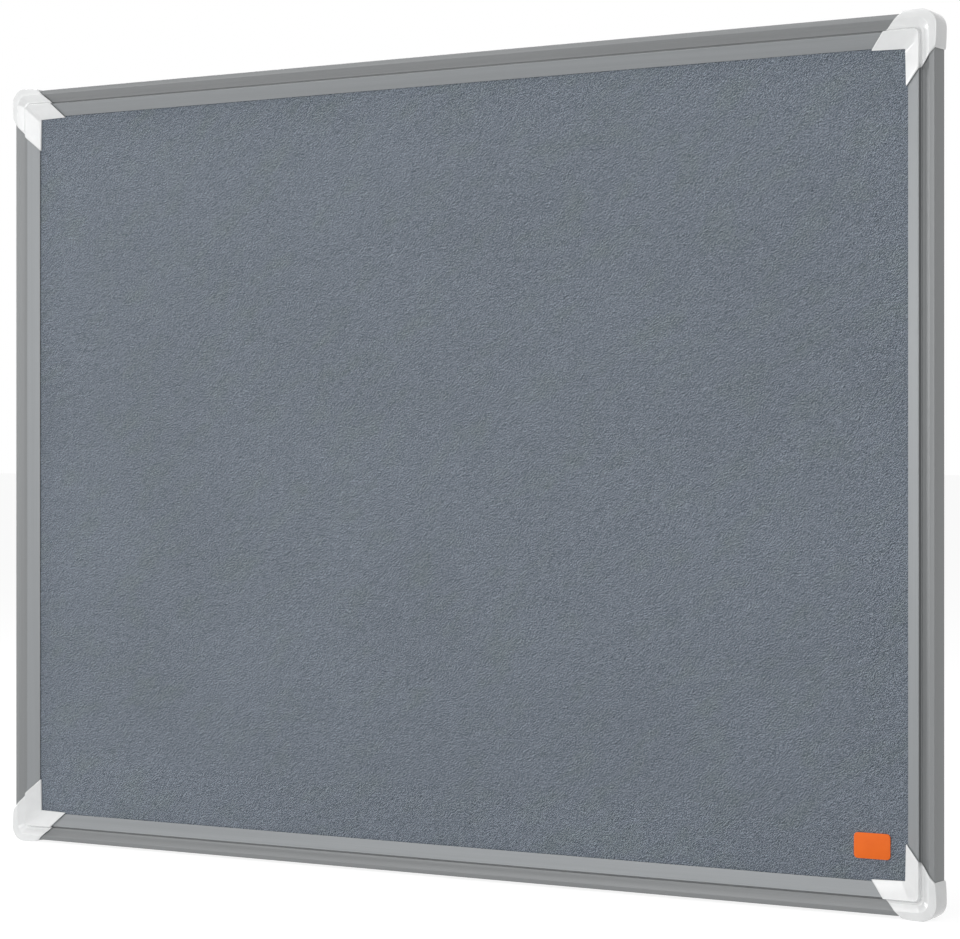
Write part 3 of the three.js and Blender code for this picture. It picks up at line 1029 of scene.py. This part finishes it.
def ranged(tree, value, span, to_span):
    """The value carried from one span to another and held within it."""
    inputs = {"Value": value, "From Min": span[0], "From Max": span[1]}
    inputs |= {"To Min": to_span[0], "To Max": to_span[1]}
    return node(tree, "ShaderNodeMapRange", inputs).outputs["Result"]


def bumped(tree, shader, height, strength, distance):
    """Bump whose height goes from 0 to distance, in millimetres."""
    inputs = {"Height": height, "Strength": strength, "Distance": distance * MM}
    bump = node(tree, "ShaderNodeBump", inputs)
    tree.links.new(bump.outputs["Normal"], shader.inputs["Normal"])


def felt_material():
    """Needled felt: short fibres that lie mostly one way, each with a painted light flank and a
    painted shaded flank in its colour.
    """
    made, tree, shader = material("felt", roughness=0.95, sheen_weight=0.08, sheen_roughness=0.6)
    plane = millimetres(tree)
    inputs = {"Vector": stretched(tree, plane, 0, FELT_DRIFT), "Detail": 1.0, "Scale": 1.0}
    drift = node(tree, "ShaderNodeTexNoise", inputs).outputs["Color"]
    inputs = {0: drift, 1: (0.5, 0.5, 0.5)}
    pushed = node(tree, "ShaderNodeVectorMath", inputs, operation="SUBTRACT").outputs[0]
    inputs = {0: pushed, "Scale": FELT_SWIRL}
    swirl = node(tree, "ShaderNodeVectorMath", inputs, operation="SCALE").outputs[0]
    bent = node(tree, "ShaderNodeVectorMath", {0: plane, 1: swirl}, operation="ADD").outputs[0]
    # The noise is weak where the felt's plane meets the edge of a cell of its lattice
    middle_of_cell = node_box("felt_covering")[0].y - FELT_THROUGH / 2
    painted_flank_shade = []
    heights = []
    for angle, length, width, shift, weight in FELT_FIBRES:
        lean = math.radians(angle)
        size = (length, FELT_THROUGH, width)
        here = (shift, middle_of_cell, 2 * shift)
        # Each fibre's noise is read twice, a little apart: the first read is its height and its
        # painted light flank, the second, subtracted, its painted shaded flank
        aside = (FELT_PAINTED_FLANK_SHIFT * math.sin(lean), FELT_PAINTED_FLANK_SHIFT * math.cos(lean))
        there = (shift + aside[0], middle_of_cell, 2 * shift + aside[1])
        fibre_and_painted_lit_flank = grain(tree, stretched(tree, bent, angle, size, here), 0.0)
        painted_shaded_flank = grain(tree, stretched(tree, bent, angle, size, there), 0.0)
        painted_flank_shade += [(fibre_and_painted_lit_flank, weight), (painted_shaded_flank, -weight)]
        heights.append((fibre_and_painted_lit_flank, weight))
    speck_size = (FELT_SPECK, FELT_THROUGH, FELT_SPECK)
    speck_shift = (FELT_SPECK_SHIFT[0], middle_of_cell, FELT_SPECK_SHIFT[1])
    speck = grain(tree, stretched(tree, plane, 0, speck_size, speck_shift), 0.0)
    clump_size = (FELT_CLUMP[0], FELT_THROUGH, FELT_CLUMP[1])
    clump_shift = (0, middle_of_cell, 0)
    clump = grain(tree, stretched(tree, bent, FELT_CLUMP_TURN, clump_size, clump_shift), 1.0)
    marks = [*painted_flank_shade, (speck, FELT_SPECK_WEIGHT), (clump, FELT_CLUMP_WEIGHT)]
    middle = (1 - FELT_SPECK_WEIGHT - FELT_CLUMP_WEIGHT) / 2
    # The colour's marks carry the fibres' painted light and painted shade as well as the felt's
    # specks and clumps
    nap = node(tree, "ShaderNodeMath", {0: sums(tree, *marks), 1: middle}, operation="ADD").outputs[0]
    colour = ramp(tree, nap, FELT_TONES)
    cloud = grain(tree, stretched(tree, plane, FELT_CLOUD_TURN, FELT_CLOUD), 3.0, 0.6)
    patch = ranged(tree, cloud, FELT_PATCH_FROM, FELT_PATCH_TO)
    warm = mixed(tree, patch, colour, mixed(tree, 1.0, colour, linear(*FELT_WARM), "MULTIPLY"))
    broad = grain(tree, stretched(tree, plane, FELT_BROAD_TURN, FELT_BROAD, FELT_BROAD_SHIFT))
    shade = ramp(tree, broad, FELT_BROAD_TONES)
    tree.links.new(mixed(tree, 1.0, warm, shade, "MULTIPLY"), shader.inputs["Base Color"])
    bumped(tree, shader, sums(tree, *heights, (speck, FELT_SPECK_WEIGHT)), *FELT_BUMP)
    return made


def laid_along(across, length, width):
    """A mark's size in X, Y and Z, long across the board or long up it."""
    return (length, width, width) if across else (width, width, length)


def aluminium_material(name, across, levels):
    """Satin anodised aluminium with faint extrusion lines along the rail."""
    made, tree, shader = material(name, metallic=0.3)
    plane = millimetres(tree)
    lines = grain(tree, stretched(tree, plane, 0, laid_along(across, *METAL_LINE)), 2.0, 0.6)
    bands = grain(tree, stretched(tree, plane, 0, laid_along(across, *METAL_BAND)), 1.0)
    speck = grain(tree, stretched(tree, plane, 0, METAL_SPECK), 1.0)
    tone = sums(tree, *zip((lines, bands, speck), METAL_WEIGHTS))
    dark = [level - METAL_SPREAD for level in levels]
    light = [level + METAL_SPREAD for level in levels]
    colour = ramp(tree, tone, tuple(zip(NARROW_SPAN, (dark, light))))
    tree.links.new(colour, shader.inputs["Base Color"])
    tree.links.new(ranged(tree, tone, WIDE_SPAN, METAL_ROUGHNESS), shader.inputs["Roughness"])
    bumped(tree, shader, lines, *METAL_BUMP)
    return made


def plastic_material(name, levels, roughness, depth, **sockets):
    """Moulded plastic: a slight unevenness of gloss and colour and a very shallow ripple."""
    made, tree, shader = material(name, **sockets)
    plane = millimetres(tree)
    cloud = grain(tree, stretched(tree, plane, 0, PLASTIC_CLOUD))
    fine = grain(tree, stretched(tree, plane, 0, PLASTIC_FINE), 2.0, 0.6)
    darker = [max(0, level - PLASTIC_SPREAD) for level in levels]
    colour = ramp(tree, cloud, tuple(zip(WIDE_SPAN, (darker, levels))))
    tree.links.new(colour, shader.inputs["Base Color"])
    uneven = sums(tree, (cloud, 0.5), (fine, 0.5))
    around = (roughness - PLASTIC_ROUGHNESS_SPREAD, roughness + PLASTIC_ROUGHNESS_SPREAD)
    tree.links.new(ranged(tree, uneven, WIDE_SPAN, around), shader.inputs["Roughness"])
    bumped(tree, shader, uneven, PLASTIC_BUMP_STRENGTH, depth)
    return made


def zinc_material():
    """Bright zinc plating with a slight spangle."""
    made, tree, shader = material("zinc_plate", metallic=0.9)
    plane = millimetres(tree)
    cloud = grain(tree, stretched(tree, plane, 0, ZINC_CLOUD), 3.0, 0.6)
    colour = ramp(tree, cloud, tuple(zip(NARROW_SPAN, ZINC_TONES)))
    tree.links.new(colour, shader.inputs["Base Color"])
    tree.links.new(ranged(tree, cloud, WIDE_SPAN, ZINC_ROUGHNESS), shader.inputs["Roughness"])
    bumped(tree, shader, cloud, *ZINC_BUMP)
    return made


def board_material(name, tones, flake):
    """Pressed fibre or paper board: short flecks lying every way."""
    made, tree, shader = material(name, roughness=0.88)
    plane = millimetres(tree)
    size = (flake, flake, flake / FLECK_THINNESS)
    flecks = [grain(tree, stretched(tree, plane, turn, size), 3.0, 0.65, 0.5) for turn in FLECK_TURNS]
    mix = sums(tree, *((fleck, 1 / len(flecks)) for fleck in flecks))
    cloud = grain(tree, stretched(tree, plane, 0, BOARD_CLOUD))
    tone = sums(tree, (mix, FLECK_WEIGHT), (cloud, BOARD_CLOUD_WEIGHT))
    colour = ramp(tree, tone, tuple(zip(BOARD_SPAN, tones)))
    tree.links.new(colour, shader.inputs["Base Color"])
    bumped(tree, shader, mix, *BOARD_BUMP)
    return made


felt = felt_material()
finishes_across = (
    aluminium_material("aluminium_across", True, ALUMINIUM),
    aluminium_material("bevel_across", True, BEVEL),
)
finishes_up = (
    aluminium_material("aluminium_up", False, ALUMINIUM),
    aluminium_material("bevel_up", False, BEVEL),
)
cap_coat = {"coat_weight": 1.0, "coat_roughness": 0.12}
cap_plastic = plastic_material("cap_plastic", CAP_COLOUR, 0.2, 0.012, ior=1.52, **cap_coat)
bracket_plastic = plastic_material("bracket_plastic", BRACKET_COLOUR, 0.5, 0.03, ior=1.49)
tab_plastic = plastic_material("tab_plastic", TAB_COLOUR, 0.42, 0.02, ior=1.36)
zinc = zinc_material()
fibreboard = board_material("fibreboard", FIBRE_TONES, 3.0)
backing = board_material("backing_card", CARD_TONES, 1.6)


# Pieces

cap = cap_mesh()
bracket = bracket_mesh()
screw = screw_mesh()
rails = {length: rail_mesh(length) for length in (2 * HALF_WIDTH, 2 * HALF_HEIGHT)}
screw_places = (("a", SCREW_ALONG, ARM_MIDDLE), ("b", ARM_MIDDLE, SCREW_ALONG))

for quarter, (corner, rail, length, right, up) in enumerate(CORNERS):
    move = Matrix.Translation((right * HALF_WIDTH, 0, up * HALF_HEIGHT))
    place = move @ Matrix.Rotation(quarter * math.pi / 2, 4, "Y")
    finishes = finishes_across if length == 2 * HALF_WIDTH else finishes_up
    nodes = [f"frame_rail_{rail}"]
    piece(f"rail_{rail}", rails[length].copy(), finishes, nodes, place)
    nodes = [f"corner_cap_{corner}"]
    piece(f"cap_{corner}", cap.copy(), cap_plastic, nodes, place)
    nodes = [f"corner_bracket_{corner}"]
    piece(f"bracket_{corner}", bracket.copy(), bracket_plastic, nodes, place)
    for mark, along_first, along_second in screw_places:
        name = f"corner_screw_{corner}_{mark}"
        degrees = SCREW_TURN + SCREW_TURN_PER_CORNER * quarter + SCREW_TURN_SECOND * (mark == "b")
        turn = Matrix.Rotation(math.radians(degrees), 4, "Y")
        seat = place @ Matrix.Translation((along_first, 0, -along_second)) @ turn
        piece(f"screw_{corner}_{mark}", screw.copy(), zinc, [name], seat)

covering = piece("felt_sheet", felt_mesh(), felt, ["felt_covering"])
piece("core", sheet_mesh("core_board"), fibreboard, ["core_board"])
piece("backing", sheet_mesh("backing_sheet"), backing, ["backing_sheet"])
piece("tab", tab_mesh(), tab_plastic, ["face_tab"])


# Stage, light and camera


def seen_directly(tree):
    """1 for what the camera sees, also in a mirror or through glass, and 0 for other light."""
    path = node(tree, "ShaderNodeLightPath")
    seen = path.outputs["Is Camera Ray"]
    for name in ("Is Glossy Ray", "Is Transmission Ray"):
        inputs = {0: seen, 1: path.outputs[name]}
        seen = node(tree, "ShaderNodeMath", inputs, operation="MAXIMUM").outputs[0]
    return seen


def floor_object():
    """A floor that the camera sees as white with the object's shadow on it."""
    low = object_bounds()[0].z
    corners = ((-1, -1), (1, -1), (1, 1), (-1, 1))
    mesh = bpy.data.meshes.new("floor")
    mesh.from_pydata([(x * FLOOR_REACH, y * FLOOR_REACH, 0) for x, y in corners], [], [(0, 1, 2, 3)])
    made = bpy.data.materials.new("floor")
    made.use_nodes = True
    tree = made.node_tree
    tree.nodes.clear()
    diffuse = node(tree, "ShaderNodeBsdfDiffuse", {"Color": FLOOR_COLOUR}).outputs[0]
    faint = node(tree, "ShaderNodeBsdfDiffuse", {"Color": FLOOR_FAINT}).outputs[0]
    inputs = {"Color": (1, 1, 1, 1), "Strength": FLOOR_GLOW}
    glow = node(tree, "ShaderNodeEmission", inputs).outputs[0]
    lit = node(tree, "ShaderNodeAddShader", {0: faint, 1: glow}).outputs[0]
    inputs = {0: seen_directly(tree), 1: diffuse, 2: lit}
    final = node(tree, "ShaderNodeMixShader", inputs).outputs[0]
    output = node(tree, "ShaderNodeOutputMaterial")
    tree.links.new(final, output.inputs["Surface"])
    mesh.materials.append(made)
    floor = bpy.data.objects.new("floor", mesh)
    floor.location = (0, 0, low)
    bpy.context.scene.collection.objects.link(floor)


def world():
    """Plain light all round, and white where the camera or a reflection sees it."""
    made = bpy.data.worlds.new("studio")
    bpy.context.scene.world = made
    made.use_nodes = True
    tree = made.node_tree
    tree.nodes.clear()
    strength = ranged(tree, seen_directly(tree), (0, 1), (WORLD_LIGHT, 1.0))
    inputs = {"Color": (1, 1, 1, 1), "Strength": strength}
    shade = node(tree, "ShaderNodeBackground", inputs).outputs[0]
    output = node(tree, "ShaderNodeOutputWorld")
    tree.links.new(shade, output.inputs["Surface"])


def lamp(name, azimuth, elevation, distance, width, height, watts):
    """A rectangular lamp facing the board's centre. Its azimuth goes right of straight ahead."""
    data = bpy.data.lights.new(name, "AREA")
    data.shape = "RECTANGLE"
    data.size, data.size_y = width, height
    data.energy = watts
    made = bpy.data.objects.new(name, data)
    aside, up = math.radians(azimuth), math.radians(elevation)
    ahead = Vector((math.sin(aside) * math.cos(up), -math.cos(aside) * math.cos(up), math.sin(up)))
    made.location = ahead * distance
    made.rotation_euler = (-ahead).to_track_quat("-Z", "Y").to_euler()
    bpy.context.scene.collection.objects.link(made)


floor_object()
world()
for row in LAMPS:
    lamp(*row)

camera_data = bpy.data.cameras.new("camera")
camera_data.lens = CAMERA_LENS
camera_data.sensor_width = CAMERA_SENSOR
camera_data.shift_y = CAMERA_SHIFT_Y
camera = bpy.data.objects.new("camera", camera_data)
camera.location = CAMERA_PLACE
camera.rotation_euler = (math.pi / 2, 0, math.radians(CAMERA_TURN))
bpy.context.scene.collection.objects.link(camera)
bpy.context.scene.camera = camera
bpy.context.scene.view_settings.view_transform = "Standard"
